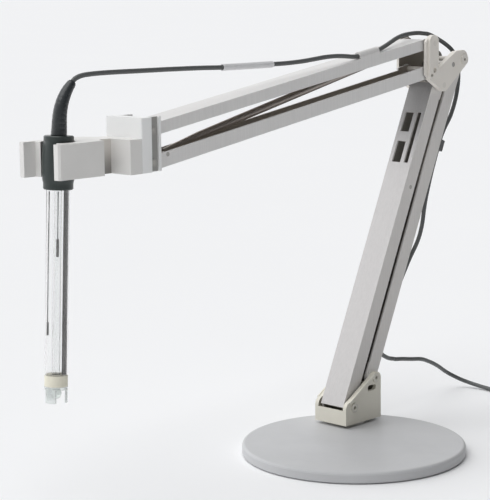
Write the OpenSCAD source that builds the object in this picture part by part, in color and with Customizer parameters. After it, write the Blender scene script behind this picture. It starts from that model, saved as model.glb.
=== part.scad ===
// Spring-balanced electrode arm with a combination glass pH electrode.
// The origin is where the arm's swivel axis meets the table, +Z is up and
// the arm folds in the XZ plane and reaches towards -X.

/* [Base] */
// Radius of the round weighted base
base_r = 65; // [63:0.5:70]
// Height of the top of the base above the table
base_h = 6.6; // [6.2:0.1:6.6]
// Distance from the swivel axis to the base centre, along X and along Y
base_off = 32.4; // [28:0.1:33]

/* [Lower arm] */
// Length between the pivots of the lower arm
lower_len = 207; // [206:0.5:208]
// Backward lean of the lower arm from the vertical
lower_lean = 24.2; // [24.2:0.1:24.2]
// Outer width of all four channels
chan_w = 17.6; // [17.2:0.1:17.6]
// Wall of the channels
chan_t = 1.2; // [1:0.1:1.2]

/* [Upper arm] */
// Length between the pivots of the upper arm
upper_len = 238; // [236:0.5:238]
// Downward slope of the upper arm towards the electrode
upper_drop = 9; // [9:0.1:9]
// Vertical distance between the pivots of the upper and lower bars
bar_gap = 16.3; // [16:0.1:17]

/* [Electrode] */
// Diameter of the glass shaft
shaft_d = 12; // [10:0.5:12]
// Length of the glass shaft below the cap
shaft_len = 95.8; // [80:0.2:96]
// Lean of the electrode in its clip
electrode_lean = 2.8; // [0:0.1:3]
// Diameter of the electrode lead
lead_d = 2.6; // [2.4:0.1:2.8]

/* [Hidden] */
$fn = 48;
eps = 0.01;

// Pivot points of the linkage, as [x, z]
P1 = [-8, 18.5];
P2 = [12, 33.5];
uz = [sin(lower_lean), cos(lower_lean)];
P3 = P2 + lower_len * uz;
P4 = P1 + lower_len * uz;
P6 = P3 + [-29.5, 11];
P5 = P6 - [0, bar_gap];
wz = [-cos(upper_drop), -sin(upper_drop)];
P8 = P6 + upper_len * wz;
P7 = P5 + upper_len * wz;

hw = chan_w / 2;
gap_in = 9.7;
pin_r = 1.75;
bore_r = 1.8;
foot_pin_r = 2;
foot_bore_r = 2.05;

// Electrode position: centre of the cap
ex = -214.2;
ey = 9.5;
ez = 182;
seat_r = 8.95;

steel = [0.62, 0.62, 0.63];
arm_face = [0.77, 0.765, 0.785];
arm_side = [0.68, 0.67, 0.64];
dark = [0.27, 0.31, 0.30];
lead_c = [0.22, 0.23, 0.24];

// Route of the lead, all in mm
R_SPAN = [
    [-203.87, 9.3, 222.44], [-203, 9.27, 223.44], [-201.2, 8.9, 224.6],
    [-198, 8.3, 225.6], [-193, 7.4, 226.1], [-186, 6.2, 226.4], [-176, 4.8, 226.5],
    [-164, 3.3, 226.5], [-150, 1.9, 226.5], [-135, 0.9, 226.4],
    [-120, 0.3, 226.2], [-105, 0, 225.8], [-86, -0.5, 225.8],
    [-66, -1, 225.9], [-54, -2, 226.1], [-44, -3, 226.6],
    [-34, -4, 227.5], [-25, -5, 228.4], [-16, -5.7, 228.6],
    [-8, -6, 228.2], [-2, -6, 227.7], [3, -6, 227.85], [11.5, -6, 229.2]
];
R_ELBOW_A = [
    [11.5, -6, 229.2], [20.5, -6, 230.6], [28, -4.8, 232.4],
    [36, -3.4, 234.8], [43, -2, 236.8], [50, -1, 238.3],
    [58, 0, 239.1], [66, 0, 239.4], [72, 0, 239], [74, 0, 238.8]
];
R_ELBOW_B = [
    [74.05, 0, 238.795], [76, 0, 238.6], [81, 0, 237.2], [88, 0, 234.6],
    [95, -0.5, 231.2], [101, -1, 227], [104.8, -1.6, 220.5],
    [105, -2.6, 213], [102.4, -4, 204.5], [98, -5.4, 196],
    [92, -6.4, 187], [85.7, -6.5, 179.5], [81.7, -6.5, 173.4],
    [80, -6.5, 169.6]
];
R_RUN = [
    [80, -6.5, 169.6], [78.3, -6.5, 165.8], [71.4, -6.8, 150],
    [64.6, -8, 134], [60.5, -9, 121], [57, -8.6, 112],
    [51.5, -6.5, 101], [43.3, -4.5, 85], [32.1, -3, 63],
    [30.4, -3, 59.2]
];
R_TAIL_A = [
    [30.4, -3, 59.2], [28.7, -3, 55.4], [27, -3, 50.5],
    [28.2, -2.4, 46], [32, -1, 42.8], [37, 0.4, 40.4],
    [42, 2, 38.4], [48, 3, 36.8]
];
R_TAIL_B = [
    [48.06, 3.01, 36.784], [51, 3.5, 36], [57, 4.4, 35], [70, 6.4, 32.4], [84, 9, 29.6],
    [98, 12.8, 24.8], [112, 16.8, 18.9], [123, 19.4, 13.2],
    [131.5, 19, 8.6], [137, 15, 5.2], [139.8, 9, 3.2],
    [140.8, 2, 2.1], [140.3, -6, 1.6], [137.8, -14, 1.45],
    [135, -21, 1.45], [134, -27, 1.45]
];
R_OUT = [
    [150, -45, 4.3], [157, -47.6, 4.3], [162.5, -49.8, 4.7],
    [166, -54, 5.5], [167, -59.5, 6.5], [167.2, -64, 7.15],
    [167.2, -69, 7.25]
];

function unit(v) = v / norm(v);
function tang(p, i) =
    unit(p[min(i + 1, len(p) - 1)] - p[max(i - 1, 0)]);
function across(v) =
    unit(abs(v[1]) < 0.9 ? cross(v, [0, 1, 0]) : cross(v, [1, 0, 0]));
function carry(p, i, n) =
    i >= len(p) ? [] :
    let (t = tang(p, i), m = unit(n - (n * t) * t))
    concat([m], carry(p, i + 1, m));
function rad(r, i) = is_list(r) ? r[i] : r;

// A tube of radius r (a number, or one per point) along the points p
module sweep(p, r, sides = 8) {
    n = carry(p, 0, across(tang(p, 0)));
    m = len(p);
    pts = [
        for (i = [0 : m - 1])
            let (t = tang(p, i), b = cross(t, n[i]))
            for (k = [0 : sides - 1])
                let (a = 360 * k / sides)
                p[i] + rad(r, i) * (cos(a) * n[i] + sin(a) * b)
    ];
    walls = [
        for (i = [0 : m - 2]) for (k = [0 : sides - 1])
            let (k2 = (k + 1) % sides)
            [i * sides + k, (i + 1) * sides + k,
             (i + 1) * sides + k2, i * sides + k2]
    ];
    first = [[for (k = [0 : sides - 1]) k]];
    last = [[for (k = [0 : sides - 1]) (m - 1) * sides + sides - 1 - k]];
    polyhedron(concat(pts), concat(walls, first, last), convexity = 10);
}

// An XZ outline extruded from y0 to y1
module slab(y0, y1) {
    translate([0, y1, 0]) rotate([90, 0, 0]) linear_extrude(y1 - y0) children();
}

// A cylinder along Y through the point p = [x, z]
module ycyl(p, r, y0, y1) {
    translate([p[0], y1, p[1]]) rotate([90, 0, 0]) cylinder(h = y1 - y0, r = r);
}

module rounded(x0, y0, x1, y1, r) {
    union() {
        translate([x0 + r, y0]) square([x1 - x0 - 2 * r, y1 - y0]);
        translate([x0, y0 + r]) square([x1 - x0, y1 - y0 - 2 * r]);
        for (x = [x0 + r, x1 - r]) for (y = [y0 + r, y1 - r])
            translate([x, y]) circle(r, $fn = 24);
    }
}

// The frames of the two arms: +Z along the lower arm, +X along the upper
module at_lower(p) {
    translate([p[0], 0, p[1]]) rotate([0, lower_lean, 0]) children();
}

module at_upper(p) {
    translate([p[0], 0, p[1]]) rotate([0, -upper_drop, 0]) children();
}

// A hollow rivet along Y, with a low head at each end
module rivet(p, r, y1, head_r) {
    difference() {
        union() {
            ycyl(p, r, -y1, y1);
            ycyl(p, head_r, -y1 - 0.7, -y1);
            ycyl(p, head_r, y1, y1 + 0.7);
        }
        ycyl(p, r * 0.55, -y1 - 2, -y1 + 2);
        ycyl(p, r * 0.55, y1 - 2, y1 + 2);
    }
}

// A pair of thin washers either side of the channels
module washer_pair(p, r, hole) {
    for (s = [-1, 1]) {
        difference() {
            ycyl(p, r, s > 0 ? hw + 0.1 : -gap_in, s > 0 ? gap_in : -hw - 0.1);
            ycyl(p, hole, -20, 20);
        }
    }
}

// ---------- base ----------

module base_disc() {
    color([0.74, 0.74, 0.755])
    difference() {
        translate([-base_off, -base_off, 0]) rotate_extrude($fn = 160)
            polygon([
                [0, 2], [base_r - 5, 2], [base_r - 5, 0.6],
                [base_r - 0.5, 0.6], [base_r, 1.2], [base_r, 5.1],
                [base_r - 0.35, 5.9], [base_r - 0.95, 6.4],
                [base_r - 1.8, base_h], [0, base_h]
            ]);
        translate([0, 0, -1]) cylinder(h = 20, r = 3.02);
        translate([0, 0, 1]) cylinder(h = 3, r = 6);
    }
}

module base_pad() {
    color([0.16, 0.16, 0.17])
    difference() {
        translate([-base_off, -base_off, 0])
            cylinder(h = 2, r = base_r - 5.3, $fn = 120);
        translate([0, 0, 1]) cylinder(h = 2, r = 6.3);
    }
}

module swivel_stud() {
    color(steel)
    union() {
        translate([0, 0, 1.4]) cylinder(h = 2.6, r = 5.7);
        translate([0, 0, 2]) cylinder(h = 9.4, r = 3);
        translate([0, 0, 10.55]) cylinder(h = 1.3, r = 5.6);
    }
}

module swivel_washer() {
    color([0.9, 0.9, 0.88])
    difference() {
        translate([0, 0, base_h]) cylinder(h = 1.75, r = 11);
        translate([0, 0, 0]) cylinder(h = 20, r = 3.3);
    }
}

// ---------- foot bracket ----------

module foot_outline() {
    union() {
        polygon([
            [-15.6, 8.4], [17, 8.4], [17, 32.9], [13, 36.9],
            [10.9, 36.3], [-13, 22], [-15.6, 17.6]
        ]);
        translate([13, 32.9]) circle(4);
        translate([-10.6, 17.9]) circle(5);
    }
}

module foot_bracket() {
    color([0.66, 0.645, 0.6])
    difference() {
        union() {
            for (s = [-1, 1])
                slab(s > 0 ? gap_in : -12.3, s > 0 ? 12.3 : -gap_in) foot_outline();
            for (s = [-1, 1])
                slab(s > 0 ? 12.2 : -13.1, s > 0 ? 13.1 : -12.2)
                    polygon([
                        [-12.9, 22.5], [9.6, 36], [10.5, 34.5], [-12, 21]
                    ]);
            translate([-15.6, -12.3, 8.4]) cube([32.6, 24.6, 2.05]);
            translate([-15.6, -10, 8.4]) cube([1, 20, 8.9]);
            translate([15.5, -10, 8.4]) cube([1.5, 20, 19.8]);
        }
        translate([0, 0, 0]) cylinder(h = 14, r = 3.05);
        ycyl(P1, foot_pin_r, -20, 20);
        ycyl(P2, foot_pin_r, -20, 20);
        slab(-20, 0) rounded(4.6, 26.3, 12.4, 29.7, 1.6);
    }
}

module foot_pins() {
    color(steel)
    union() {
        rivet(P1, foot_pin_r, 12.3, 2.9);
        rivet(P2, foot_pin_r, 12.3, 2.9);
    }
}

module foot_washers() {
    color([0.85, 0.85, 0.83])
    union() {
        washer_pair(P1, 3.9, 2);
        washer_pair(P2, 3.9, 2);
    }
}

// ---------- lower arm ----------

module front_channel() {
    color(arm_face)
    at_lower(P1)
    difference() {
        union() {
            translate([-6, -hw, -2]) cube([10.6, chan_w, lower_len - 2]);
            translate([4, 0, 6]) cube([1.3, hw, lower_len - 12]);
            slab(-hw, hw) translate([-0.3, 0]) circle(4.9);
            slab(-hw, hw) translate([-0.3, lower_len]) circle(4.9);
            slab(-hw, hw)
                polygon([
                    [-6, -2], [4.5, -2], [4.4, 0], [4.6, lower_len],
                    [-5.5, lower_len], [-6, lower_len - 5]
                ]);
        }
        translate([-6 + chan_t, -hw + chan_t, -10])
            cube([30, chan_w - 2 * chan_t, lower_len + 30]);
        translate([-10, -hw + chan_t, -10])
            cube([30, chan_w - 2 * chan_t, 8]);
        translate([-10, -hw + chan_t, lower_len - 0.6])
            cube([30, chan_w - 2 * chan_t, 30]);
        ycyl([0, 0], foot_bore_r, -20, 20);
        ycyl([0, lower_len], bore_r, -20, 20);
        ycyl([0, 140], 1.3, -20, 20);
        translate([3.9, -hw - 1, 8]) cube([4, hw, lower_len - 16]);
        translate([-10, -0.3, 173.5]) cube([8, 6.5, 12.8]);
        translate([-10, -0.3, 153.5]) cube([8, 6.5, 13.8]);
        translate([-10, -6.2, 153.5]) cube([8, 3.2, 33]);
    }
}

module rear_channel() {
    color(arm_side)
    at_lower(P2)
    difference() {
        union() {
            translate([-5.2, -hw, 0]) cube([9.9, chan_w, lower_len]);
            translate([-5.9, 0, -3]) cube([1.5, hw, lower_len - 3]);
            translate([3.4, -hw, -3.4]) cube([1.3, chan_w, 5]);
            slab(-hw, hw) translate([-0.3, 0]) circle(4.9);
            slab(-hw, hw) translate([-0.3, lower_len]) circle(4.9);
        }
        translate([-30, -hw + chan_t, -10])
            cube([33.5, chan_w - 2 * chan_t, lower_len + 30]);
        translate([-10, -hw + chan_t, -13.4])
            cube([30, chan_w - 2 * chan_t, 10]);
        translate([-7, -hw - 1, 8]) cube([2.2, hw, lower_len - 16]);
        translate([-10, -hw + chan_t, lower_len + 2])
            cube([30, chan_w - 2 * chan_t, 30]);
        ycyl([0, 0], foot_bore_r, -20, 20);
        ycyl([0, lower_len], bore_r, -20, 20);
    }
}

lower_post = P1 + 140 * uz;

module lower_spring_post() {
    color(steel) ycyl(lower_post, 1.3, -hw, hw);
}

// A tension spring as its outer tube, with an eye at each end
module spring_body(a, b, r, ra, rb) {
    d = b - a;
    len_ab = norm(d);
    ang = atan2(d[0], d[1]);
    translate([a[0], 0, a[1]]) rotate([0, ang, 0])
    difference() {
        union() {
            translate([0, 0, ra + 1.2])
                cylinder(h = len_ab - ra - rb - 2.4, r = r, $fn = 32);
            slab(-0.6, 0.6) circle(ra + 1.3);
            slab(-0.6, 0.6) translate([0, len_ab]) circle(rb + 1.3);
        }
        ycyl([0, 0], ra, -5, 5);
        ycyl([0, len_ab], rb, -5, 5);
    }
}

module lower_spring() {
    color([0.5, 0.48, 0.46]) spring_body(P2, lower_post, 2.6, 2.06, 1.36);
}

// ---------- elbow ----------

// The notch behind the upright is in the near plate only
module elbow_outline(notch_z) {
    difference() {
        union() {
            polygon([
                [62.3, 211.5], [74, 204.4], [79.6, 204.3],
                [99, 218.9], [96, 228.1], [88.6, 227.7],
                [71, notch_z], [71, 235.6], [69.4, 237.7],
                [66.6, 238.4], [63.9, 237.7], [62.3, 235.6]
            ]);
            translate(P4) circle(3.9);
            translate([95.4, 222.9]) circle(5.3);
        }
        translate(P3) circle(pin_r);
        translate(P4) circle(pin_r);
        translate(P5) circle(pin_r);
        translate(P6) circle(pin_r);
        translate([86, 219.6]) circle(1.6);
        translate([64.7, 213.9]) circle(1.1);
    }
}

// A thickened lip down the front of each plate's upright
module elbow_lip() {
    polygon([
        [60.4, 214.6], [62.4, 212.6], [62.4, 236.4], [60.4, 234.4]
    ]);
}

module elbow_plate_near() {
    color([0.7, 0.69, 0.65])
    union() {
        slab(-13, -gap_in) elbow_outline(217.8);
        slab(-11.4, -gap_in) elbow_lip();
    }
}

module elbow_plate_far() {
    color([0.7, 0.69, 0.65])
    union() {
        slab(gap_in, 13) elbow_outline(227.2);
        slab(gap_in, 11.4) elbow_lip();
    }
}

module elbow_pins() {
    color(steel)
    union() {
        rivet(P3, pin_r, 13, 3.4);
        ycyl(P4, pin_r, -12.9, 12.9);
        ycyl(P5, pin_r, -11.6, 11.6);
        ycyl(P6, pin_r, -12.9, 12.9);
    }
}

module elbow_washers() {
    color([0.85, 0.85, 0.83])
    union() {
        washer_pair(P3, 3.6, pin_r);
        washer_pair(P4, 3.6, pin_r);
        washer_pair(P5, 3.2, pin_r);
        washer_pair(P6, 3, pin_r);
    }
}

module elbow_spacer() {
    color(steel)
    union() {
        ycyl([86, 219.6], 1.6, -12.8, 12.8);
        ycyl([86, 219.6], 2.2, -gap_in, gap_in);
    }
}

// ---------- upper arm ----------

module top_channel() {
    color(arm_face)
    at_upper(P6)
    difference() {
        union() {
            translate([-upper_len, -hw, -3.3]) cube([upper_len, chan_w, 6.5]);
            slab(-hw, hw) translate([0, -0.05]) circle(3.25);
            slab(-hw, hw) translate([-upper_len, -0.05]) circle(3.25);
        }
        translate([-upper_len - 10, -hw + chan_t, -20])
            cube([upper_len + 20, chan_w - 2 * chan_t, 20 + 3.2 - chan_t]);
        translate([-upper_len - 10, -hw + chan_t, -20])
            cube([9.4, chan_w - 2 * chan_t, 40]);
        translate([-4.8, -hw + chan_t, -20])
            cube([20, chan_w - 2 * chan_t, 40]);
        ycyl([0, 0], bore_r, -20, 20);
        ycyl([-upper_len, 0], bore_r, -20, 20);
    }
}

module bottom_channel() {
    color(arm_side)
    at_upper(P5)
    difference() {
        union() {
            translate([-upper_len, -hw, -5]) cube([upper_len, chan_w, 7.7]);
            slab(-hw, hw) translate([0, -1.15]) circle(3.85);
            slab(-hw, hw) translate([-upper_len, -1.15]) circle(3.85);
        }
        translate([-upper_len - 10, -hw + chan_t, -5 + chan_t])
            cube([upper_len + 20, chan_w - 2 * chan_t, 30]);
        translate([-upper_len - 10, -hw + chan_t, -20])
            cube([9.4, chan_w - 2 * chan_t, 40]);
        translate([0.6, -hw + chan_t, -20])
            cube([10, chan_w - 2 * chan_t, 40]);
        ycyl([0, 0], bore_r, -20, 20);
        ycyl([-upper_len, 0], bore_r, -20, 20);
        ycyl([-upper_len + 13, 1.1], 1.2, -20, 20);
        translate([-upper_len + 18, 0, 1.2]) cube([upper_len - 28, 20, 5]);
    }
}

upper_post = P5 + (13 - upper_len) * [cos(upper_drop), sin(upper_drop)]
    + 1.1 * [-sin(upper_drop), cos(upper_drop)];

module upper_spring_post() {
    color(steel) ycyl(upper_post, 1.2, -hw, hw);
}

module upper_spring() {
    color([0.42, 0.38, 0.35]) spring_body(upper_post, P6, 2.3, 1.26, 1.81);
}

// ---------- head ----------

module head_block() {
    color([0.86, 0.87, 0.875])
    difference() {
        union() {
            linear_extrude(28.5) rounded(-178, -13.9, -170.6, 13.9, 0.8);
            for (s = [-1, 1]) {
                translate([-171.4, s > 0 ? gap_in : -10.8, 0])
                    cube([8.8, 1.1, 28.5]);
                translate([-164.3, s > 0 ? 10.7 : -11.9, 0])
                    cube([1.7, 1.2, 28.5]);
            }
        }
        translate([-173.6, -gap_in, -1]) cube([3.2, 2 * gap_in, 27.6]);
        translate([-171, -gap_in, -1]) cube([10, 2 * gap_in, 40]);
        for (p = [P7, P8])
            ycyl([p[0], p[1] - 175], pin_r, -20, 20);
        for (z = [4.6, 13.6])
            translate([-180, 2, z]) rotate([0, 90, 0]) cylinder(h = 12, r = 1.5);
    }
}

module head_pins() {
    color(steel)
    union() {
        for (p = [P7, P8]) ycyl(p, pin_r, -11.5, 11.5);
    }
}

module head_washers() {
    color([0.85, 0.85, 0.83])
    union() {
        washer_pair(P7, 2.9, pin_r);
        washer_pair(P8, 2.9, pin_r);
    }
}

module holder_screws() {
    color(steel)
    union() {
        for (z = [179.6, 188.6]) {
            translate([-182.5, 2, z]) rotate([0, 90, 0]) cylinder(h = 9, r = 1.5);
            translate([-173.6, 2, z]) rotate([0, 90, 0]) cylinder(h = 1.1, r = 2.6);
        }
    }
}

// Plan of the holder: block, recessed neck and the fork for the electrode
module holder_plan() {
    difference() {
        union() {
            polygon([
                [-186.1, -13.9], [-178, -13.9], [-178, 13.9],
                [-184.5, 13.9], [-188, 20.2], [-194, 24.3],
                [-227, 24.3], [-228, 23.3], [-228, 20.1],
                [-226, -1.1], [-226, -4.3], [-225, -5.3],
                [-196.2, -5.3], [-195.9, -2], [-195, 0],
                [-193, 1], [-186.1, 1]
            ]);
        }
        translate([-240, ey - 10.6]) square([19.5, 21.2]);
        translate([ex, ey]) circle(seat_r, $fn = 72);
    }
}

module electrode_holder() {
    color([0.74, 0.74, 0.73])
    difference() {
        translate([0, 0, 174.9]) linear_extrude(18) holder_plan();
        for (z = [179.6, 188.6])
            translate([-182.6, 2, z]) rotate([0, 90, 0]) cylinder(h = 9, r = 1.5);
    }
}

// ---------- electrode ----------

module at_electrode() {
    translate([ex, ey, ez]) rotate([0, electrode_lean, 0]) children();
}

module electrode_cap() {
    color(dark)
    at_electrode()
    difference() {
        rotate_extrude($fn = 64)
            polygon([
                [0, -13.4], [7.2, -13.4], [7.7, -12.9], [7.7, -10.2],
                [8.1, -8.6], [8.5, -4.5], [8.6, 0], [8.5, 4.5],
                [8.1, 9], [7.7, 11.3], [7.7, 13.5], [7.2, 14], [0, 14]
            ]);
        translate([0, 0, -14]) cylinder(h = 8, r = shaft_d / 2 + 0.02, $fn = 64);
    }
}

B_PATH = [
    [-213.5, 9.5, 195.9], [-213.1, 9.5, 200], [-212.8, 9.5, 204],
    [-212, 9.5, 208.8], [-210.2, 9.5, 213.7], [-207.4, 9.4, 218.4],
    [-203.9, 9.3, 222.4]
];

module cap_boot() {
    color(dark)
    sweep(B_PATH, [4.1, 4, 3.8, 3.6, 3.3, 2.9, 2.2], 16);
}

s_end = -13.4 - shaft_len;

module glass_shaft() {
    color([0.85, 0.88, 0.88, 0.5])
    at_electrode()
    difference() {
        translate([0, 0, s_end]) cylinder(h = shaft_len + 7, r = shaft_d / 2, $fn = 64);
        translate([0, 0, s_end - 1])
            cylinder(h = shaft_len + 7.3, r = shaft_d / 2 - 0.5, $fn = 64);
    }
}

module inner_tube() {
    color([0.8, 0.84, 0.84, 0.5])
    at_electrode()
    difference() {
        translate([0, 0, s_end - 5.2]) cylinder(h = shaft_len + 11, r = 2.15, $fn = 40);
        translate([0, 0, s_end - 6]) cylinder(h = shaft_len + 10, r = 1.6, $fn = 40);
    }
}

// The reference element stands to one side of the inner tube
module reference_wire() {
    color([0.3, 0.3, 0.3])
    at_electrode()
    translate([2.84, -2.94, s_end + 0.3]) cylinder(h = shaft_len + 5, r = 1.3, $fn = 24);
}

module junction_ring() {
    color([0.9, 0.86, 0.66])
    at_electrode()
    difference() {
        union() {
            translate([0, 0, s_end - 5.8]) cylinder(h = 5.8, r = shaft_d / 2, $fn = 64);
            translate([0, 0, s_end - 5.8]) cylinder(h = 6, r = shaft_d / 2 - 0.55, $fn = 64);
        }
        translate([0, 0, s_end - 8]) cylinder(h = 10, r = 2.2, $fn = 40);
    }
}

module glass_bulb() {
    color([0.7, 0.72, 0.7, 0.6])
    at_electrode()
    union() {
        translate([0, 0, s_end - 9.8]) sphere(r = 2.9, $fn = 40);
        translate([0, 0, s_end - 8]) cylinder(h = 2.75, r = 2.05, $fn = 40);
    }
}

// Three short legs around the bulb
module bulb_guard() {
    color([0.82, 0.84, 0.82])
    at_electrode()
    difference() {
        translate([0, 0, s_end - 14.2]) cylinder(h = 8.4, r = shaft_d / 2, $fn = 64);
        translate([0, 0, s_end - 15]) cylinder(h = 12, r = shaft_d / 2 - 0.9, $fn = 64);
        for (a = [0, 120, 240]) rotate([0, 0, a + 20])
            translate([0, -2.8, s_end - 15]) cube([10, 5.6, 7.6]);
    }
}

// ---------- lead ----------

module arm_clip() {
    color(arm_face)
    at_upper(P6)
    difference() {
        union() {
            translate([-65.1, -6, 4.65]) rotate([0, 90, 0]) cylinder(h = 17.3, r = 2.5);
            translate([-65.1, -8.8, 3.2]) cube([17.3, 5.8, 1.2]);
        }
        translate([-70, -12, 0]) cube([30, 12, 3.2]);
        translate([-66, -6, 4.65]) rotate([0, 90, 0]) cylinder(h = 20, r = 1.55);
    }
}

module rear_clips() {
    color([0.3, 0.3, 0.31])
    at_lower(P2)
    difference() {
        union() {
            translate([4.7, -9, 148.5]) cube([3.5, 5.2, 7]);
            translate([4.7, -5.6, 27.5]) cube([3.5, 5.2, 7]);
        }
        translate([6.2, -6.5, 147]) cylinder(h = 10, r = 1.55);
        translate([6.2, -3, 26]) cylinder(h = 10, r = 1.55);
    }
}

module lead_sleeve() {
    color([0.72, 0.72, 0.73])
    difference() {
        sweep([R_SPAN[11], R_SPAN[12], R_SPAN[13]], 1.85, 12);
        sweep([
            R_SPAN[11] - [2, -0.05, 0], R_SPAN[12], R_SPAN[13] + [2, -0.05, 0]
        ], 1.5, 12);
    }
}

module lead_span() {
    color(lead_c) sweep(R_SPAN, lead_d / 2);
}

module lead_elbow_a() {
    color(lead_c) sweep(R_ELBOW_A, lead_d / 2);
}

module lead_elbow_b() {
    color(lead_c) sweep(R_ELBOW_B, lead_d / 2);
}

module lead_run() {
    color(lead_c) sweep(R_RUN, lead_d / 2);
}

module lead_tail_a() {
    color(lead_c) sweep(R_TAIL_A, lead_d / 2);
}

module lead_tail_b() {
    color(lead_c) sweep(R_TAIL_B, lead_d / 2);
}

module lead_out() {
    color(lead_c) sweep(R_OUT, lead_d / 2);
}

module lead_coil() {
    color(lead_c)
    translate([152, -27, 0]) rotate_extrude($fn = 64)
        polygon([
            [11.6, 0.1], [18.8, 0.1], [19.4, 0.7], [19.4, 5.1],
            [18.8, 5.7], [11.6, 5.7], [11, 5.1], [11, 0.7]
        ]);
}

module along_plug(y) {
    translate([167.2, y, 7.25]) rotate([90, 0, 0]) children();
}

module plug_boot() {
    color([0.18, 0.18, 0.19]) along_plug(-69) cylinder(h = 11, r1 = 2.4, r2 = 4.4);
}

module plug_body() {
    color([0.75, 0.75, 0.74])
    difference() {
        along_plug(-80) cylinder(h = 16, r = 4.8);
        along_plug(-87) cylinder(h = 20, r = 3.6);
    }
}

module plug_ring() {
    color([0.8, 0.8, 0.79])
    difference() {
        along_plug(-83) cylinder(h = 15, r = 7.25);
        along_plug(-82) cylinder(h = 18, r = 5.1);
    }
}

base_disc();
base_pad();
swivel_stud();
swivel_washer();
foot_bracket();
foot_pins();
foot_washers();
front_channel();
rear_channel();
lower_spring();
lower_spring_post();
elbow_plate_near();
elbow_plate_far();
elbow_pins();
elbow_washers();
elbow_spacer();
top_channel();
bottom_channel();
upper_spring();
upper_spring_post();
translate([0, 0, 175]) head_block();
head_pins();
head_washers();
holder_screws();
electrode_holder();
electrode_cap();
cap_boot();
glass_shaft();
inner_tube();
reference_wire();
junction_ring();
bulb_guard();
glass_bulb();
arm_clip();
rear_clips();
lead_sleeve();
lead_span();
lead_elbow_a();
lead_elbow_b();
lead_run();
lead_tail_a();
lead_tail_b();
lead_coil();
lead_out();
plug_boot();
plug_body();
plug_ring();
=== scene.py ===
import math

import bmesh
import bpy
import numpy as np
from mathutils import Matrix, Vector


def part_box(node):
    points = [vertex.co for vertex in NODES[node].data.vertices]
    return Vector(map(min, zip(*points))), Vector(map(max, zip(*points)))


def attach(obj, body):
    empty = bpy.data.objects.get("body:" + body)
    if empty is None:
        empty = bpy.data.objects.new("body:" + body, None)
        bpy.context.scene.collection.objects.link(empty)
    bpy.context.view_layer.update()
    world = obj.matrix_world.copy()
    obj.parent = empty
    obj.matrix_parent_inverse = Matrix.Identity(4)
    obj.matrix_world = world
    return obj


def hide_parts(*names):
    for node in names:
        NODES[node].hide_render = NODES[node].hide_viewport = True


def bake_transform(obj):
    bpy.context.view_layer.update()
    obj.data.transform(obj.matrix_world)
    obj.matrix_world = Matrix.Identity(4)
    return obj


# Visual model of the electrode arm. Everything is in metres, in the CAD frame:
# origin where the swivel axis meets the table, +Z up, the arm reaches to -X.

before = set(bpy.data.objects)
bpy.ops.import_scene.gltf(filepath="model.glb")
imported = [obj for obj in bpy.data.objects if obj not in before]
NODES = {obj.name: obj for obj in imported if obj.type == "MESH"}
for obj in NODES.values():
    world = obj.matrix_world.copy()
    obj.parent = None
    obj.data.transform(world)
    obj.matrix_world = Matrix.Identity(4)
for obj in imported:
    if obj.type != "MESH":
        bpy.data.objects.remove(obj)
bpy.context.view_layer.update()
MM = 0.001

# ---------- camera ----------

AZIMUTH = math.radians(46)
PITCH = math.radians(-9.1)
ROLL = math.radians(-0.55)
CAMERA_AT = (-766.8, -655.15, 274.0)
SENSOR = 36
LENS = 122.4


def add_camera():
    """The camera that the photo was matched with."""
    right = Vector((math.cos(AZIMUTH), -math.sin(AZIMUTH), 0))
    ahead = Vector((math.sin(AZIMUTH), math.cos(AZIMUTH), 0))
    up = Vector((0, 0, 1))
    look = ahead * math.cos(PITCH) + up * math.sin(PITCH)
    top = up * math.cos(PITCH) - ahead * math.sin(PITCH)
    x = right * math.cos(ROLL) + top * math.sin(ROLL)
    y = top * math.cos(ROLL) - right * math.sin(ROLL)
    data = bpy.data.cameras.new("camera")
    data.sensor_width = SENSOR
    data.lens = LENS
    data.clip_start = 0.01
    camera = bpy.data.objects.new("camera", data)
    bpy.context.collection.objects.link(camera)
    camera.matrix_world = Matrix.Translation(Vector(CAMERA_AT) * MM) @ (
        Matrix((x, y, -look)).transposed().to_4x4()
    )
    bpy.context.scene.camera = camera


add_camera()

# ---------- mesh helpers ----------


def add_object(name, mesh, material=None):
    obj = bpy.data.objects.new(name, mesh)
    bpy.context.collection.objects.link(obj)
    if material:
        mesh.materials.append(material)
    return obj


def shade_faces(mesh, smooth):
    mesh.polygons.foreach_set("use_smooth", [smooth] * len(mesh.polygons))


def mesh_from(name, verts, faces, smooth=True):
    mesh = bpy.data.meshes.new(name)
    mesh.from_pydata([tuple(v) for v in verts], [], faces)
    bm = bmesh.new()
    bm.from_mesh(mesh)
    bmesh.ops.recalc_face_normals(bm, faces=bm.faces)
    bm.to_mesh(mesh)
    bm.free()
    shade_faces(mesh, smooth)
    return mesh


def smooth_path(points, step):
    """A smooth line through the points, in metres, with a point about every step.

    It is a centripetal Catmull-Rom curve, which doesn't overshoot where points are close."""
    p = np.array(points, float)
    ext = np.vstack([2 * p[0] - p[1], p, 2 * p[-1] - p[-2]])
    out = []
    for i in range(1, len(ext) - 2):
        a, b, c, d = ext[i - 1 : i + 3]
        n = max(2, int(np.linalg.norm(c - b) / step))
        t = [0.0]
        for u, v in ((a, b), (b, c), (c, d)):
            t.append(t[-1] + max(np.linalg.norm(v - u), 1e-9) ** 0.5)
        for k in range(n):
            s = t[1] + (t[2] - t[1]) * k / n
            a1 = a + (b - a) * (s - t[0]) / (t[1] - t[0])
            a2 = b + (c - b) * (s - t[1]) / (t[2] - t[1])
            a3 = c + (d - c) * (s - t[2]) / (t[3] - t[2])
            b1 = a1 + (a2 - a1) * (s - t[0]) / (t[2] - t[0])
            b2 = a2 + (a3 - a2) * (s - t[1]) / (t[3] - t[1])
            out.append(b1 + (b2 - b1) * (s - t[1]) / (t[2] - t[1]))
    out.append(p[-1])
    return np.array(out)


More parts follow.
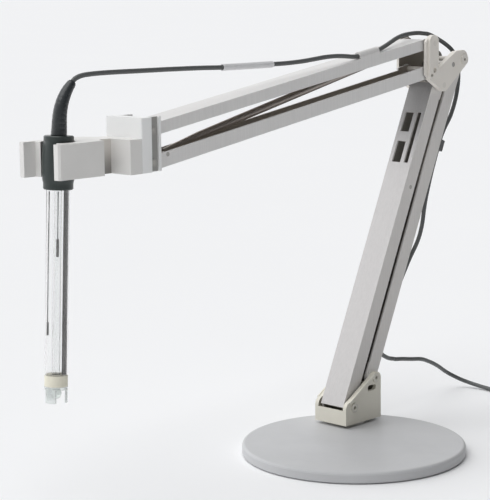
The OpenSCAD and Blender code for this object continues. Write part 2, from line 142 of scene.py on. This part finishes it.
def tube_mesh(name, path, radius, sides=16):
    """A closed tube along the path; radius is a number or one for each point."""
    path = np.array(path, float)
    n = len(path)
    radii = np.full(n, radius) if np.isscalar(radius) else np.array(radius)
    tangent = np.gradient(path, axis=0)
    tangent /= np.linalg.norm(tangent, axis=1)[:, None]
    side = np.cross(tangent[0], [0, 1, 0] if abs(tangent[0][1]) < 0.9 else [1, 0, 0])
    verts = []
    for i in range(n):
        side = side - tangent[i] * (side @ tangent[i])
        side /= np.linalg.norm(side)
        other = np.cross(tangent[i], side)
        for k in range(sides):
            a = 2 * math.pi * k / sides
            verts.append(path[i] + radii[i] * (math.cos(a) * side + math.sin(a) * other))
    faces = [
        (i * sides + k, i * sides + (k + 1) % sides,
         (i + 1) * sides + (k + 1) % sides, (i + 1) * sides + k)
        for i in range(n - 1) for k in range(sides)
    ]
    faces.append(tuple(range(sides)))
    faces.append(tuple((n - 1) * sides + k for k in range(sides)))
    return mesh_from(name, verts, faces)


# ---------- materials ----------


class Surface:
    """A Principled material built up from procedural layers."""

    def __init__(self, name, color, rough, metallic=0.0):
        self.mat = bpy.data.materials.new(name)
        self.mat.use_nodes = True
        self.tree = self.mat.node_tree
        self.bsdf = self.tree.nodes["Principled BSDF"]
        self.coords = self.node("ShaderNodeTexCoord").outputs["Object"]
        self.bsdf.inputs["Base Color"].default_value = (*color, 1)
        self.bsdf.inputs["Roughness"].default_value = rough
        self.bsdf.inputs["Metallic"].default_value = metallic
        self.color = color
        self.rough = rough
        self.height = None

    def node(self, kind, **values):
        made = self.tree.nodes.new(kind)
        for k, v in values.items():
            setattr(made, k, v)
        return made

    def link(self, a, b):
        self.tree.links.new(a, b)

    def noise(self, scale, stretch=(1, 1, 1), turn=(0, 0, 0), detail=4.0, rough=0.55):
        """A noise pattern with scale in cells per metre, stretched along its own axes."""
        place = self.node("ShaderNodeMapping")
        place.inputs["Rotation"].default_value = turn
        place.inputs["Scale"].default_value = stretch
        self.link(self.coords, place.inputs["Vector"])
        made = self.node("ShaderNodeTexNoise")
        made.inputs["Scale"].default_value = scale
        made.inputs["Detail"].default_value = detail
        made.inputs["Roughness"].default_value = rough
        self.link(place.outputs["Vector"], made.inputs["Vector"])
        return made.outputs["Fac"]

    def ramp(self, fac, low, high, at=(0.3, 0.7)):
        made = self.node("ShaderNodeValToRGB")
        made.color_ramp.elements[0].position = at[0]
        made.color_ramp.elements[1].position = at[1]
        made.color_ramp.elements[0].color = (*low, 1)
        made.color_ramp.elements[1].color = (*high, 1)
        self.link(fac, made.inputs["Fac"])
        return made.outputs["Color"]

    def tint(self, fac, spread, at=(0.3, 0.7)):
        """Varies the base colour by spread around its value."""
        low = [c * (1 - spread) for c in self.color]
        high = [min(1, c * (1 + spread)) for c in self.color]
        self.link(self.ramp(fac, low, high, at), self.bsdf.inputs["Base Color"])

    def gloss(self, fac, spread):
        made = self.node("ShaderNodeMapRange")
        made.inputs["To Min"].default_value = max(0.02, self.rough - spread)
        made.inputs["To Max"].default_value = min(1, self.rough + spread)
        self.link(fac, made.inputs["Value"])
        self.link(made.outputs["Result"], self.bsdf.inputs["Roughness"])

    def bump(self, fac, strength, depth):
        """depth is the height of the pattern, in metres."""
        made = self.node("ShaderNodeBump")
        made.inputs["Strength"].default_value = strength
        made.inputs["Distance"].default_value = depth
        self.link(fac, made.inputs["Height"])
        if self.height is not None:
            self.link(self.height, made.inputs["Normal"])
        self.height = made.outputs["Normal"]
        self.link(self.height, self.bsdf.inputs["Normal"])

    def shade(self, direction, start, end, amount):
        """Paints shade into the base colour: darkens it by up to amount along a direction, from
        start to end.
        """
        dot = self.node("ShaderNodeVectorMath", operation="DOT_PRODUCT")
        dot.inputs[1].default_value = direction
        self.link(self.coords, dot.inputs[0])
        fall = self.node("ShaderNodeMapRange", interpolation_type="SMOOTHSTEP")
        for k, v in (("From Min", start), ("From Max", end), ("To Min", 1), ("To Max", 1 - amount)):
            fall.inputs[k].default_value = v
        self.link(dot.outputs["Value"], fall.inputs["Value"])
        scaled = self.node("ShaderNodeVectorMath", operation="SCALE")
        base = self.bsdf.inputs["Base Color"]
        self.link(base.links[0].from_socket, scaled.inputs[0])
        self.link(fall.outputs["Result"], scaled.inputs["Scale"])
        self.link(scaled.outputs["Vector"], base)

    def set(self, name, value):
        self.bsdf.inputs[name].default_value = value


def painted(name, color, rough=0.42, metallic=0.0):
    """Satin paint: faint cloudiness, a fine orange peel and an uneven gloss."""
    s = Surface(name, color, rough, metallic)
    s.tint(s.noise(35), 0.035)
    s.gloss(s.noise(90, detail=6), 0.07)
    s.bump(s.noise(1400, detail=2), 0.25, 0.00006)
    s.bump(s.noise(220, detail=3), 0.12, 0.00012)
    return s.mat


def anodised(name, color, lean, rough=0.5, shade=None):
    """Satin drawn aluminium with a grain along the bar, which leans by that angle about Y."""
    s = Surface(name, color, rough, metallic=0.08)
    grain = s.noise(900, stretch=(1, 1, 0.02), turn=(0, lean, 0), detail=5, rough=0.7)
    s.tint(grain, 0.045)
    s.gloss(s.noise(60, stretch=(1, 1, 0.15), turn=(0, lean, 0)), 0.08)
    s.bump(grain, 0.3, 0.00005)
    s.bump(s.noise(1500, detail=2), 0.15, 0.00005)
    s.set("Coat Weight", 0.12)
    s.set("Coat Roughness", 0.3)
    if shade:
        s.shade(*shade)
    return s.mat


def steel(name, color, rough=0.28):
    """Bare metal with faint marks drawn out along Y."""
    s = Surface(name, color, rough, metallic=1.0)
    turned = s.noise(1200, stretch=(1, 0.1, 1), detail=4)
    s.tint(turned, 0.09)
    s.gloss(s.noise(300), 0.1)
    s.bump(turned, 0.2, 0.00004)
    return s.mat


def plastic(name, color, rough=0.5, grain=900, depth=0.00005, spread=0.03, shade=None):
    """Moulded plastic with a spark-eroded grain."""
    s = Surface(name, color, rough)
    s.tint(s.noise(50), spread)
    s.gloss(s.noise(160, detail=5), 0.06)
    s.bump(s.noise(grain, detail=3), 0.35, depth)
    if shade:
        s.shade(*shade)
    return s.mat


def glass(name, color, rough=0.03, weight=1.0, ior=1.47):
    """Clear glass or plastic, with weight as its share of transmission."""
    s = Surface(name, color, rough)
    s.set("Transmission Weight", weight)
    s.set("IOR", ior)
    s.gloss(s.noise(120), 0.02)
    return s.mat


# The lower bars lean from upright, and the upper bars drop from level, in degrees
LOWER_TURN = 24.2
UPPER_DROP = 9
LOWER_LEAN = math.radians(LOWER_TURN)
UPPER_LEAN = math.radians(90 - UPPER_DROP)

BASE_PAINT = painted("base_paint", (0.52, 0.525, 0.535), rough=0.46)
BRACKET_PAINT = painted("bracket_paint", (0.76, 0.735, 0.645), rough=0.45)
ELBOW_PAINT = painted("elbow_paint", (0.78, 0.745, 0.69), rough=0.45)
LOWER_BAR = anodised("lower_bar", (0.66, 0.64, 0.62), -LOWER_LEAN)
UPPER_BAR = anodised("upper_bar", (0.735, 0.725, 0.715), UPPER_LEAN)
ELBOW_RIVET = painted("elbow_rivet", (0.7, 0.67, 0.62), rough=0.4)
FOOT_RIVET = painted("foot_rivet", (0.66, 0.64, 0.57), rough=0.4)
# Painted shade: the inner faces of the lower channels are a darker copy of their finish
LOWER_INSIDE_SHADE = anodised("lower_bar_inside_painted_shade", (0.26, 0.245, 0.22), -LOWER_LEAN, rough=0.7)
# Painted shadow: the web of the front channel gets darker towards the elbow, where the upper arm
# shades it
LOWER_WEB_SHADOW = anodised(
    "lower_bar_web_painted_shadow", (0.6, 0.585, 0.58), -LOWER_LEAN,
    shade=((math.sin(LOWER_LEAN), 0, math.cos(LOWER_LEAN)), 0.158, 0.204, 0.6),
)
# Painted shade: the inner faces of the upper channels are a darker copy of their finish
UPPER_INSIDE_SHADE = anodised("upper_bar_inside_painted_shade", (0.42, 0.385, 0.35), UPPER_LEAN, rough=0.7)
# Painted shade: the bracket's inner faces are a dark copy of its paint
BRACKET_INSIDE_SHADE = painted("bracket_inside_painted_shade", (0.36, 0.34, 0.28), rough=0.7)
# Painted shade: the crease of the holder is a darker copy of its plastic, and it gets darker
# downwards
HOLDER_CREASE_SHADE = plastic(
    "holder_neck_painted_shade", (0.74, 0.71, 0.665), rough=0.5,
    shade=((0, 0, -1), -0.192, -0.174, 0.68),
)
# Painted shade: the elbow plates' inner faces are a dark copy of their paint
ELBOW_INSIDE_SHADE = painted("elbow_inside_painted_shade", (0.26, 0.235, 0.2), rough=0.7)
PIN_STEEL = steel("pin_steel", (0.38, 0.37, 0.35), rough=0.36)
SPRING_STEEL = steel("spring_steel", (0.47, 0.43, 0.4), rough=0.36)
PLUG_NICKEL = steel("plug_nickel", (0.66, 0.65, 0.62), rough=0.22)
WIRE_SILVER = steel("wire_silver", (0.13, 0.125, 0.12), rough=0.45)
WIRE_GREY = steel("wire_grey", (0.4, 0.4, 0.4), rough=0.4)
HEAD_PLASTIC = plastic("head_plastic", (0.89, 0.895, 0.89), rough=0.45)
HOLDER_PLASTIC = plastic("holder_plastic", (0.77, 0.76, 0.74), rough=0.45)
CAP_PLASTIC = plastic("cap_plastic", (0.026, 0.036, 0.034), rough=0.34)
BOOT_RUBBER = plastic("boot_rubber", (0.035, 0.04, 0.043), rough=0.27, grain=500)
# Painted shade: the head's neck, in the groove behind the flange, is a dark copy of the head's
# plastic
HEAD_NECK_SHADE = plastic("head_neck_painted_shade", (0.34, 0.335, 0.32), rough=0.55)
WASHER_NYLON = plastic("washer_nylon", (0.7, 0.69, 0.66), rough=0.5)
CLIP_PLASTIC = plastic("clip_plastic", (0.09, 0.09, 0.092), rough=0.5)
SLEEVE_PLASTIC = plastic("sleeve_plastic", (0.72, 0.72, 0.73), rough=0.55)
PAD_RUBBER = plastic("pad_rubber", (0.04, 0.04, 0.042), rough=0.75, grain=500, depth=0.0001)
LEAD_SHEATH = plastic("lead_sheath", (0.1, 0.105, 0.105), rough=0.5, grain=1600)
JUNCTION = plastic("junction_frit", (0.82, 0.79, 0.665), rough=0.8, grain=2500, depth=0.00008)
SHAFT_GLASS = glass("shaft_glass", (0.985, 0.987, 0.985))
INNER_GLASS = glass("inner_glass", (0.975, 0.98, 0.978), rough=0.04)
BULB_GLASS = glass("bulb_glass", (0.86, 0.89, 0.87), rough=0.04)
GUARD_PLASTIC = glass("guard_plastic", (0.9, 0.93, 0.92), rough=0.22, weight=0.8, ior=1.45)

# ---------- the lead ----------

# The route's points, in mm, as the CAD has them
R_SPAN = [
    (-203.87, 9.3, 222.44), (-203, 9.27, 223.44), (-201.2, 8.9, 224.6),
    (-198, 8.3, 225.6), (-193, 7.4, 226.1), (-186, 6.2, 226.4), (-176, 4.8, 226.5),
    (-164, 3.3, 226.5), (-150, 1.9, 226.5), (-135, 0.9, 226.4),
    (-120, 0.3, 226.2), (-105, 0, 225.8), (-86, -0.5, 225.8),
    (-66, -1, 225.9), (-54, -2, 226.1), (-44, -3, 226.6),
    (-34, -4, 227.5), (-25, -5, 228.4), (-16, -5.7, 228.6),
    (-8, -6, 228.2), (-2, -6, 227.7), (3, -6, 227.85), (11.5, -6, 229.2),
]
R_ELBOW_A = [
    (11.5, -6, 229.2), (20.5, -6, 230.6), (28, -4.8, 232.4),
    (36, -3.4, 234.8), (43, -2, 236.8), (50, -1, 238.3),
    (58, 0, 239.1), (66, 0, 239.4), (72, 0, 239), (74, 0, 238.8),
]
R_ELBOW_B = [
    (74.05, 0, 238.795), (76, 0, 238.6), (81, 0, 237.2), (88, 0, 234.6),
    (95, -0.5, 231.2), (101, -1, 227), (104.8, -1.6, 220.5),
    (105, -2.6, 213), (102.4, -4, 204.5), (98, -5.4, 196),
    (92, -6.4, 187), (85.7, -6.5, 179.5), (81.7, -6.5, 173.4),
    (80, -6.5, 169.6),
]
R_RUN = [
    (80, -6.5, 169.6), (78.3, -6.5, 165.8), (71.4, -6.8, 150),
    (64.6, -8, 134), (60.5, -9, 121), (57, -8.6, 112),
    (51.5, -6.5, 101), (43.3, -4.5, 85), (32.1, -3, 63),
    (30.4, -3, 59.2),
]
R_TAIL_A = [
    (30.4, -3, 59.2), (28.7, -3, 55.4), (27, -3, 50.5),
    (28.2, -2.4, 46), (32, -1, 42.8), (37, 0.4, 40.4),
    (42, 2, 38.4), (48, 3, 36.8),
]
R_TAIL_B = [
    (48.06, 3.01, 36.784), (51, 3.5, 36), (57, 4.4, 35), (70, 6.4, 32.4), (84, 9, 29.6),
    (98, 12.8, 24.8), (112, 16.8, 18.9), (123, 19.4, 13.2),
    (131.5, 19, 8.6), (137, 15, 5.2), (139.8, 9, 3.2),
    (140.8, 2, 2.1), (140.3, -6, 1.6), (137.8, -14, 1.45),
    (135, -21, 1.45), (134, -27, 1.45),
]
R_OUT = [
    (150, -45, 4.3), (157, -47.6, 4.3), (162.5, -49.8, 4.7),
    (166, -54, 5.5), (167, -59.5, 6.5), (167.2, -64, 7.15),
    (167.2, -69, 7.25),
]
LEAD_R = 1.3 * MM
LEAD_STEP = 0.0016
ROUTE = {
    "span": R_SPAN, "elbow_a": R_ELBOW_A, "elbow_b": R_ELBOW_B,
    "run": R_RUN, "tail_a": R_TAIL_A, "tail_b": R_TAIL_B, "out": R_OUT,
}


def whole_line():
    """One smooth line through the clipped parts, cut again where the pieces meet."""
    names = ["span", "elbow_a", "elbow_b", "run", "tail_a"]
    points = list(ROUTE["span"])
    for name in names[1:]:
        points += ROUTE[name][1:]
    points += ROUTE["tail_b"][1:3]
    line = smooth_path(np.array(points) * MM, LEAD_STEP)
    cuts = [0]
    for name in names:
        end = np.array(ROUTE[name][-1]) * MM
        cuts.append(int(np.linalg.norm(line - end, axis=1).argmin()))
    return {n: line[a : b + 1] for n, a, b in zip(names, cuts, cuts[1:])}


LINES = whole_line()


def lead_piece(name, node, line):
    """A round length of the lead along the line, in place of that CAD node."""
    obj = add_object(name, tube_mesh(name, line, LEAD_R), LEAD_SHEATH)
    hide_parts(node)
    return obj


span = lead_piece("lead_over_arm", "lead_span", LINES["span"])
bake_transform(span)
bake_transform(lead_piece("lead_to_elbow", "lead_elbow_a", LINES["elbow_a"]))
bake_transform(lead_piece("lead_round_elbow", "lead_elbow_b", LINES["elbow_b"]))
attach(lead_piece("lead_down_bar", "lead_run", LINES["run"]), "rear_bar")
tail = lead_piece("lead_from_clip", "lead_tail_a", LINES["tail_a"])
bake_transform(tail)

# The coil lies on the table, two layers and just over five turns, wound
# anticlockwise, in mm
COIL_C = (152, -27)
COIL_R = (18.0, 15.2, 12.4)
COIL_Z = (1.45, 4.3)
COIL_LEAVE = 3
TURN_POINTS = 32
LAST_POINTS = 6


def coil_turns():
    """The coil as (x, y, z) in mm: in along the bottom layer, then out along the top."""
    low, high = COIL_Z
    outer, middle, inner = COIL_R
    # each turn: radius, height, then where it moves to and over which part of the turn
    turns = [
        (outer, low, middle, low, 0.55, 0.85),
        (middle, low, inner, low, 0.55, 0.85),
        (inner, low, inner, high, 0.2, 0.45),
        (inner, high, middle, high, 0.0, 0.35),
        (middle, high, outer, high, 0.0, 0.35),
        (outer, high, outer + COIL_LEAVE, high, 0.0, 0.35),
    ]
    line = []
    for i, (r0, z0, r1, z1, f0, f1) in enumerate(turns):
        last = i == len(turns) - 1
        for k in range(LAST_POINTS if last else TURN_POINTS):
            f = k / TURN_POINTS
            s = min(1.0, max(0.0, (f - f0) / (f1 - f0)))
            s = s * s * (3 - 2 * s)
            a = math.pi + 2 * math.pi * f
            r = r0 + (r1 - r0) * s
            line.append((
                COIL_C[0] + r * math.cos(a), COIL_C[1] + r * math.sin(a),
                z0 + (z1 - z0) * s,
            ))
    return line


FREE = smooth_path(
    np.array(R_TAIL_B[:-1] + coil_turns() + R_OUT[1:]) * MM, LEAD_STEP
)
free = add_object("lead_free", tube_mesh("lead_free", FREE, LEAD_R), LEAD_SHEATH)
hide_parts("lead_tail_b", "lead_coil", "lead_out")
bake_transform(free)

# ---------- CAD nodes that stay: materials and softened edges ----------


EDGE_ANGLE = math.radians(35)


def dress(material, *names, bevel=0.0, segments=2):
    """Gives CAD nodes their material, and bevels their edges by that many metres."""
    for name in names:
        obj = NODES[name]
        obj.data.materials.clear()
        obj.data.materials.append(material)
        if bevel:
            edge = obj.modifiers.new("edges", "BEVEL")
            edge.width = bevel
            edge.segments = segments
            edge.limit_method = "ANGLE"
            edge.angle_limit = EDGE_ANGLE
            edge.harden_normals = False
        shade = obj.modifiers.new("shading", "WEIGHTED_NORMAL")
        shade.keep_sharp = True
        shade_faces(obj.data, True)


dress(BASE_PAINT, "base_disc", bevel=0.0004)
dress(PAD_RUBBER, "base_pad", bevel=0.0003)
dress(PIN_STEEL, "swivel_stud", "head_pins", bevel=0.00025)
dress(ELBOW_RIVET, "elbow_pins", bevel=0.00025)
dress(FOOT_RIVET, "foot_pins", bevel=0.00025)
dress(PIN_STEEL, "elbow_spacer", "lower_spring_post", "upper_spring_post", bevel=0.0002)
dress(PIN_STEEL, "holder_screws", bevel=0.0003)
dress(WASHER_NYLON, "swivel_washer", "foot_washers", "elbow_washers", "head_washers",
      bevel=0.00015)
dress(BRACKET_PAINT, "foot_bracket", bevel=0.0004)
dress(ELBOW_PAINT, "elbow_plate_near", "elbow_plate_far", bevel=0.0005)
dress(LOWER_BAR, "front_channel", "rear_channel", bevel=0.0005)
dress(UPPER_BAR, "top_channel", "bottom_channel", "arm_clip", bevel=0.0004)
dress(HEAD_PLASTIC, "head_block", bevel=0.0009, segments=3)
dress(HOLDER_PLASTIC, "electrode_holder", bevel=0.0009, segments=3)
dress(CAP_PLASTIC, "electrode_cap", bevel=0.0003)
dress(SHAFT_GLASS, "glass_shaft")
dress(INNER_GLASS, "inner_tube")
dress(WIRE_SILVER, "reference_wire")
dress(JUNCTION, "junction_ring", bevel=0.0003)
dress(GUARD_PLASTIC, "bulb_guard", bevel=0.0002)
dress(BULB_GLASS, "glass_bulb")
dress(CLIP_PLASTIC, "rear_clips", bevel=0.0003)
dress(SLEEVE_PLASTIC, "lead_sleeve", bevel=0.0002)
dress(CLIP_PLASTIC, "plug_boot", bevel=0.0003)
dress(PLUG_NICKEL, "plug_body", "plug_ring", bevel=0.0003)

# ---------- painted shade on parts of a node ------------

# How far from the middle plane, in metres, faces lie: the inner faces of the channels'
# cheeks, of the plates and bracket, and the outer faces of the head's neck. BAR_WEB_HALF
# is how far from that plane the middle of a web's face can be.
BAR_INSIDE = 0.0076
PLATE_INSIDE = 0.0097
NECK_SIDE = 0.0108
BAR_WEB_HALF = 0.0075
NEAR = 0.0003
# Cosines of how squarely a face has to look in a direction
SQUARE = 0.98
FACING = 0.9


def paint_shade(name, material, chosen):
    """Paints shade on the faces of a CAD node that chosen(centre, normal) picks, giving them
    another material.
    """
    obj = NODES[name]
    obj.data.materials.append(material)
    place = obj.matrix_world
    turn = place.to_3x3()
    for face in obj.data.polygons:
        if chosen(place @ face.center, (turn @ face.normal).normalized()):
            face.material_index = len(obj.data.materials) - 1


def cheek_inside(centre, normal, depth):
    """Whether a face at that depth from the middle plane looks towards it."""
    inward = normal.y * centre.y < 0 and abs(normal.y) > FACING
    return inward and abs(abs(centre.y) - depth) < NEAR


def shade_inside(name, material, inward, depth):
    """Paints shade on a channel's or plate's inner faces with a darker material of their own.

    inward is the direction that the web's inner face looks in, or None without a web, and
    depth is how far from the middle plane the cheeks' inner faces are."""

    def inner(centre, normal):
        web = inward is not None and normal.dot(inward) > SQUARE
        return cheek_inside(centre, normal, depth) or (web and abs(centre.y) < BAR_WEB_HALF)

    paint_shade(name, material, inner)


def inside_bracket(centre, normal):
    back_wall = normal.x < -FACING and centre.x > 0.014
    return cheek_inside(centre, normal, PLATE_INSIDE) or back_wall


def on_neck(centre, normal):
    return abs(abs(centre.y) - NECK_SIDE) < 0.0001 and abs(normal.y) > FACING


def in_crease(centre, normal):
    """Whether a face is an upright one of the holder's neck that looks to the near side."""
    upright = normal.y < -0.1 and normal.z ** 2 < 0.01
    return upright and -0.006 < centre.y < 0.0012 and -0.1965 < centre.x < -0.186


# Painted shade inside the foot bracket
paint_shade("foot_bracket", BRACKET_INSIDE_SHADE, inside_bracket)
# Painted shade in the groove of the head's neck
paint_shade("head_block", HEAD_NECK_SHADE, on_neck)
# Painted shade in the holder's crease
paint_shade("electrode_holder", HOLDER_CREASE_SHADE, in_crease)

# Directions square to the webs
FRONT_TO_REAR = Vector((math.cos(LOWER_LEAN), 0, -math.sin(LOWER_LEAN)))
FALL = math.radians(UPPER_DROP)
BOTTOM_TO_TOP = Vector((-math.sin(FALL), 0, math.cos(FALL)))
# Painted shade on the channels' inner faces
shade_inside("front_channel", LOWER_INSIDE_SHADE, FRONT_TO_REAR, BAR_INSIDE)
# The front channel's outer web gets the material with the painted shadow
paint_shade(
    "front_channel", LOWER_WEB_SHADOW, lambda centre, normal: normal.dot(-FRONT_TO_REAR) > SQUARE
)
shade_inside("rear_channel", LOWER_INSIDE_SHADE, -FRONT_TO_REAR, BAR_INSIDE)
shade_inside("top_channel", UPPER_INSIDE_SHADE, -BOTTOM_TO_TOP, BAR_INSIDE)
shade_inside("bottom_channel", UPPER_INSIDE_SHADE, BOTTOM_TO_TOP, BAR_INSIDE)
# Painted shade on the elbow plates' inner faces
shade_inside("elbow_plate_near", ELBOW_INSIDE_SHADE, None, PLATE_INSIDE)
shade_inside("elbow_plate_far", ELBOW_INSIDE_SHADE, None, PLATE_INSIDE)

# ---------- balance springs ----------


HOOK_STEPS = 12
# An end hook sweeps this many half turns, and takes this many of its radii of the length
HOOK_SWEEP = 1.25
HOOK_SPAN = 2.6
STEPS_PER_TURN = 10
# The coil starts at this share of its radius and reaches all of it an eighth
# of the way in, at either end
NARROW_END = 0.35
GROWTH = 8


def spring(name, node, a, b, radius, wire, turns, hook):
    """A close-wound tension spring from a to b, with an open hook of that radius at each end."""
    a, b = np.array(a), np.array(b)
    length = np.linalg.norm(b - a)
    along = (b - a) / length
    side = np.array([0.0, 1.0, 0.0])
    up = np.cross(along, side)
    line = []
    for k in range(HOOK_STEPS + 1):
        t = math.pi * (HOOK_SWEEP - HOOK_SWEEP * k / HOOK_STEPS) + math.pi / 2
        line.append(a + hook * (math.cos(t) * along + math.sin(t) * up))
    first, last = HOOK_SPAN * hook, length - HOOK_SPAN * hook
    steps = turns * STEPS_PER_TURN
    for k in range(steps + 1):
        f = k / steps
        t = 2 * math.pi * turns * f
        grow = min(1.0, GROWTH * f, GROWTH * (1 - f))
        grow = NARROW_END + (1 - NARROW_END) * grow
        line.append(
            a + along * (first + (last - first) * f)
            + radius * grow * (math.cos(t) * up + math.sin(t) * side)
        )
    for k in range(HOOK_STEPS + 1):
        t = math.pi / 2 - math.pi * HOOK_SWEEP * k / HOOK_STEPS
        line.append(b + hook * (math.cos(t) * along + math.sin(t) * up))
    obj = add_object(name, tube_mesh(name, np.array(line), wire, 8), SPRING_STEEL)
    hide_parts(node)
    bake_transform(obj)


# Pivots of the foot and of the elbow that the springs hook on, in the CAD's numbering
P2 = Vector((12, 0, 33.5)) * MM
P6 = Vector((67.35, 0, 233.31)) * MM


def middle(node):
    """The middle of a CAD node's box."""
    low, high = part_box(node)
    return (low + high) / 2


spring(
    "lower_spring_coil", "lower_spring",
    P2, middle("lower_spring_post"), 2.1 * MM, 0.45 * MM, 104, 2.6 * MM,
)
spring(
    "upper_spring_coil", "upper_spring",
    middle("upper_spring_post"), P6, 1.85 * MM, 0.42 * MM, 225, 1.9 * MM,
)

# ---------- strain relief ----------


BOOT_LINE = [
    (-213.5, 9.5, 195.9), (-213.1, 9.5, 200), (-212.8, 9.5, 204),
    (-212, 9.5, 208.8), (-210.2, 9.5, 213.7), (-207.4, 9.4, 218.4),
    (-203.9, 9.3, 222.4),
]
BOOT_STEP = 0.00035
# Radius at the cap, then what it loses evenly and what it loses near the tip, in mm
BOOT_R, TAPER, TIP_TAPER = 4.15, 1.15, 0.75
# Ring grooves: their depth in mm, then their pitch, start and end as shares of the length
GROOVE = 0.05
PITCH_SHARE, RINGS_FROM, RINGS_TO = 0.085, 0.1, 0.95
TIP_FROM, TIP_STEP = 0.985, 0.25


def boot_radius(f):
    """The relief's radius in mm at the share f of its length."""
    r = BOOT_R - TAPER * f - TIP_TAPER * f ** 4
    if RINGS_FROM < f < RINGS_TO:
        r -= GROOVE * max(0.0, math.sin(2 * math.pi * (f - RINGS_FROM) / PITCH_SHARE)) ** 2
    if f > TIP_FROM:
        r -= TIP_STEP
    return r


def boot():
    """A tapered relief with shallow rings, along the CAD boot's bend."""
    path = smooth_path(np.array(BOOT_LINE) * MM, BOOT_STEP)
    last = len(path) - 1
    radii = [boot_radius(i / last) * MM for i in range(len(path))]
    obj = add_object("cap_relief", tube_mesh("cap_relief", path, radii, 32), BOOT_RUBBER)
    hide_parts("cap_boot")
    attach(obj, "head")


boot()

# ---------- the wires inside the electrode ----------


# Where the electrode's own frame starts, in mm, and how far it leans about Y
ELECTRODE_AT = (-214.2, 9.5, 182)
ELECTRODE_LEAN = math.radians(2.8)


def inner_wire(name, x, y, top, bottom, radius, material):
    """A straight wire in the electrode's own frame, from top to bottom along it, in mm."""
    cos, sin = math.cos(ELECTRODE_LEAN), math.sin(ELECTRODE_LEAN)
    x0, y0, z0 = ELECTRODE_AT
    path = np.array([
        (x0 + x * cos + z * sin, y0 + y, z0 - x * sin + z * cos)
        for z in (top, (top + bottom) / 2, bottom)
    ]) * MM
    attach(add_object(name, tube_mesh(name, path, radius * MM, 12), material), "head")


inner_wire("centre_wire", 0, 0, -14.5, -39, 0.3, WIRE_GREY)
inner_wire("centre_wire_end", 0, 0, -39, -48, 0.75, WIRE_SILVER)
inner_wire("side_wire", -3.3, 3.42, -14.5, -82, 0.35, WIRE_GREY)
inner_wire("side_wire_end", -3.25, 3.36, -82, -88.7, 0.65, WIRE_SILVER)

# ---------- floor, world and lights ----------


FLOOR_HALF = 60


def add_floor():
    e = FLOOR_HALF
    mesh = mesh_from(
        "floor", [(-e, -e, 0), (e, -e, 0), (e, e, 0), (-e, e, 0)], [(0, 1, 2, 3)], False
    )
    s = Surface("floor_paper", (0.915, 0.92, 0.93), 0.9)
    s.set("Specular IOR Level", 0.0)
    s.tint(s.noise(3), 0.003)
    add_object("floor", mesh, s.mat)


def add_world():
    """A soft studio: light from above, from the left and from behind the object."""
    world = bpy.data.worlds.new("studio")
    world.use_nodes = True
    tree = world.node_tree
    back = tree.nodes["Background"]
    back.inputs["Color"].default_value = (0.985, 0.99, 1.0, 1)
    way = tree.nodes.new("ShaderNodeTexCoord").outputs["Generated"]
    total = None
    # direction that each soft light comes from, and its strength
    lights = [((0, 0, 1), 0.2), ((-1, 0, 0), 0.3), ((0, 1, 0), 1.5)]
    for direction, strength in lights:
        dot = tree.nodes.new("ShaderNodeVectorMath")
        dot.operation = "DOT_PRODUCT"
        dot.inputs[1].default_value = direction
        tree.links.new(way, dot.inputs[0])
        clip = tree.nodes.new("ShaderNodeMath")
        clip.operation = "MAXIMUM"
        clip.inputs[1].default_value = 0.0
        tree.links.new(dot.outputs["Value"], clip.inputs[0])
        part = tree.nodes.new("ShaderNodeMath")
        part.operation = "MULTIPLY_ADD"
        part.inputs[1].default_value = strength
        part.inputs[2].default_value = 0.0
        tree.links.new(clip.outputs[0], part.inputs[0])
        if total is not None:
            tree.links.new(total, part.inputs[2])
        total = part.outputs[0]
    tree.links.new(total, back.inputs["Strength"])
    bpy.context.scene.world = world


def add_sun(energy, angle, direction):
    """A sun that wide, in degrees, shining from that direction."""
    data = bpy.data.lights.new("sun", "SUN")
    data.energy = energy
    data.angle = math.radians(angle)
    obj = bpy.data.objects.new("sun", data)
    bpy.context.collection.objects.link(obj)
    obj.rotation_euler = (-Vector(direction)).to_track_quat("-Z", "Y").to_euler()


add_floor()
add_world()
add_sun(energy=1.57, angle=60, direction=(-0.4, 0.05, 0.92))

scene = bpy.context.scene
scene.view_settings.view_transform = "Standard"
scene.view_settings.look = "None"
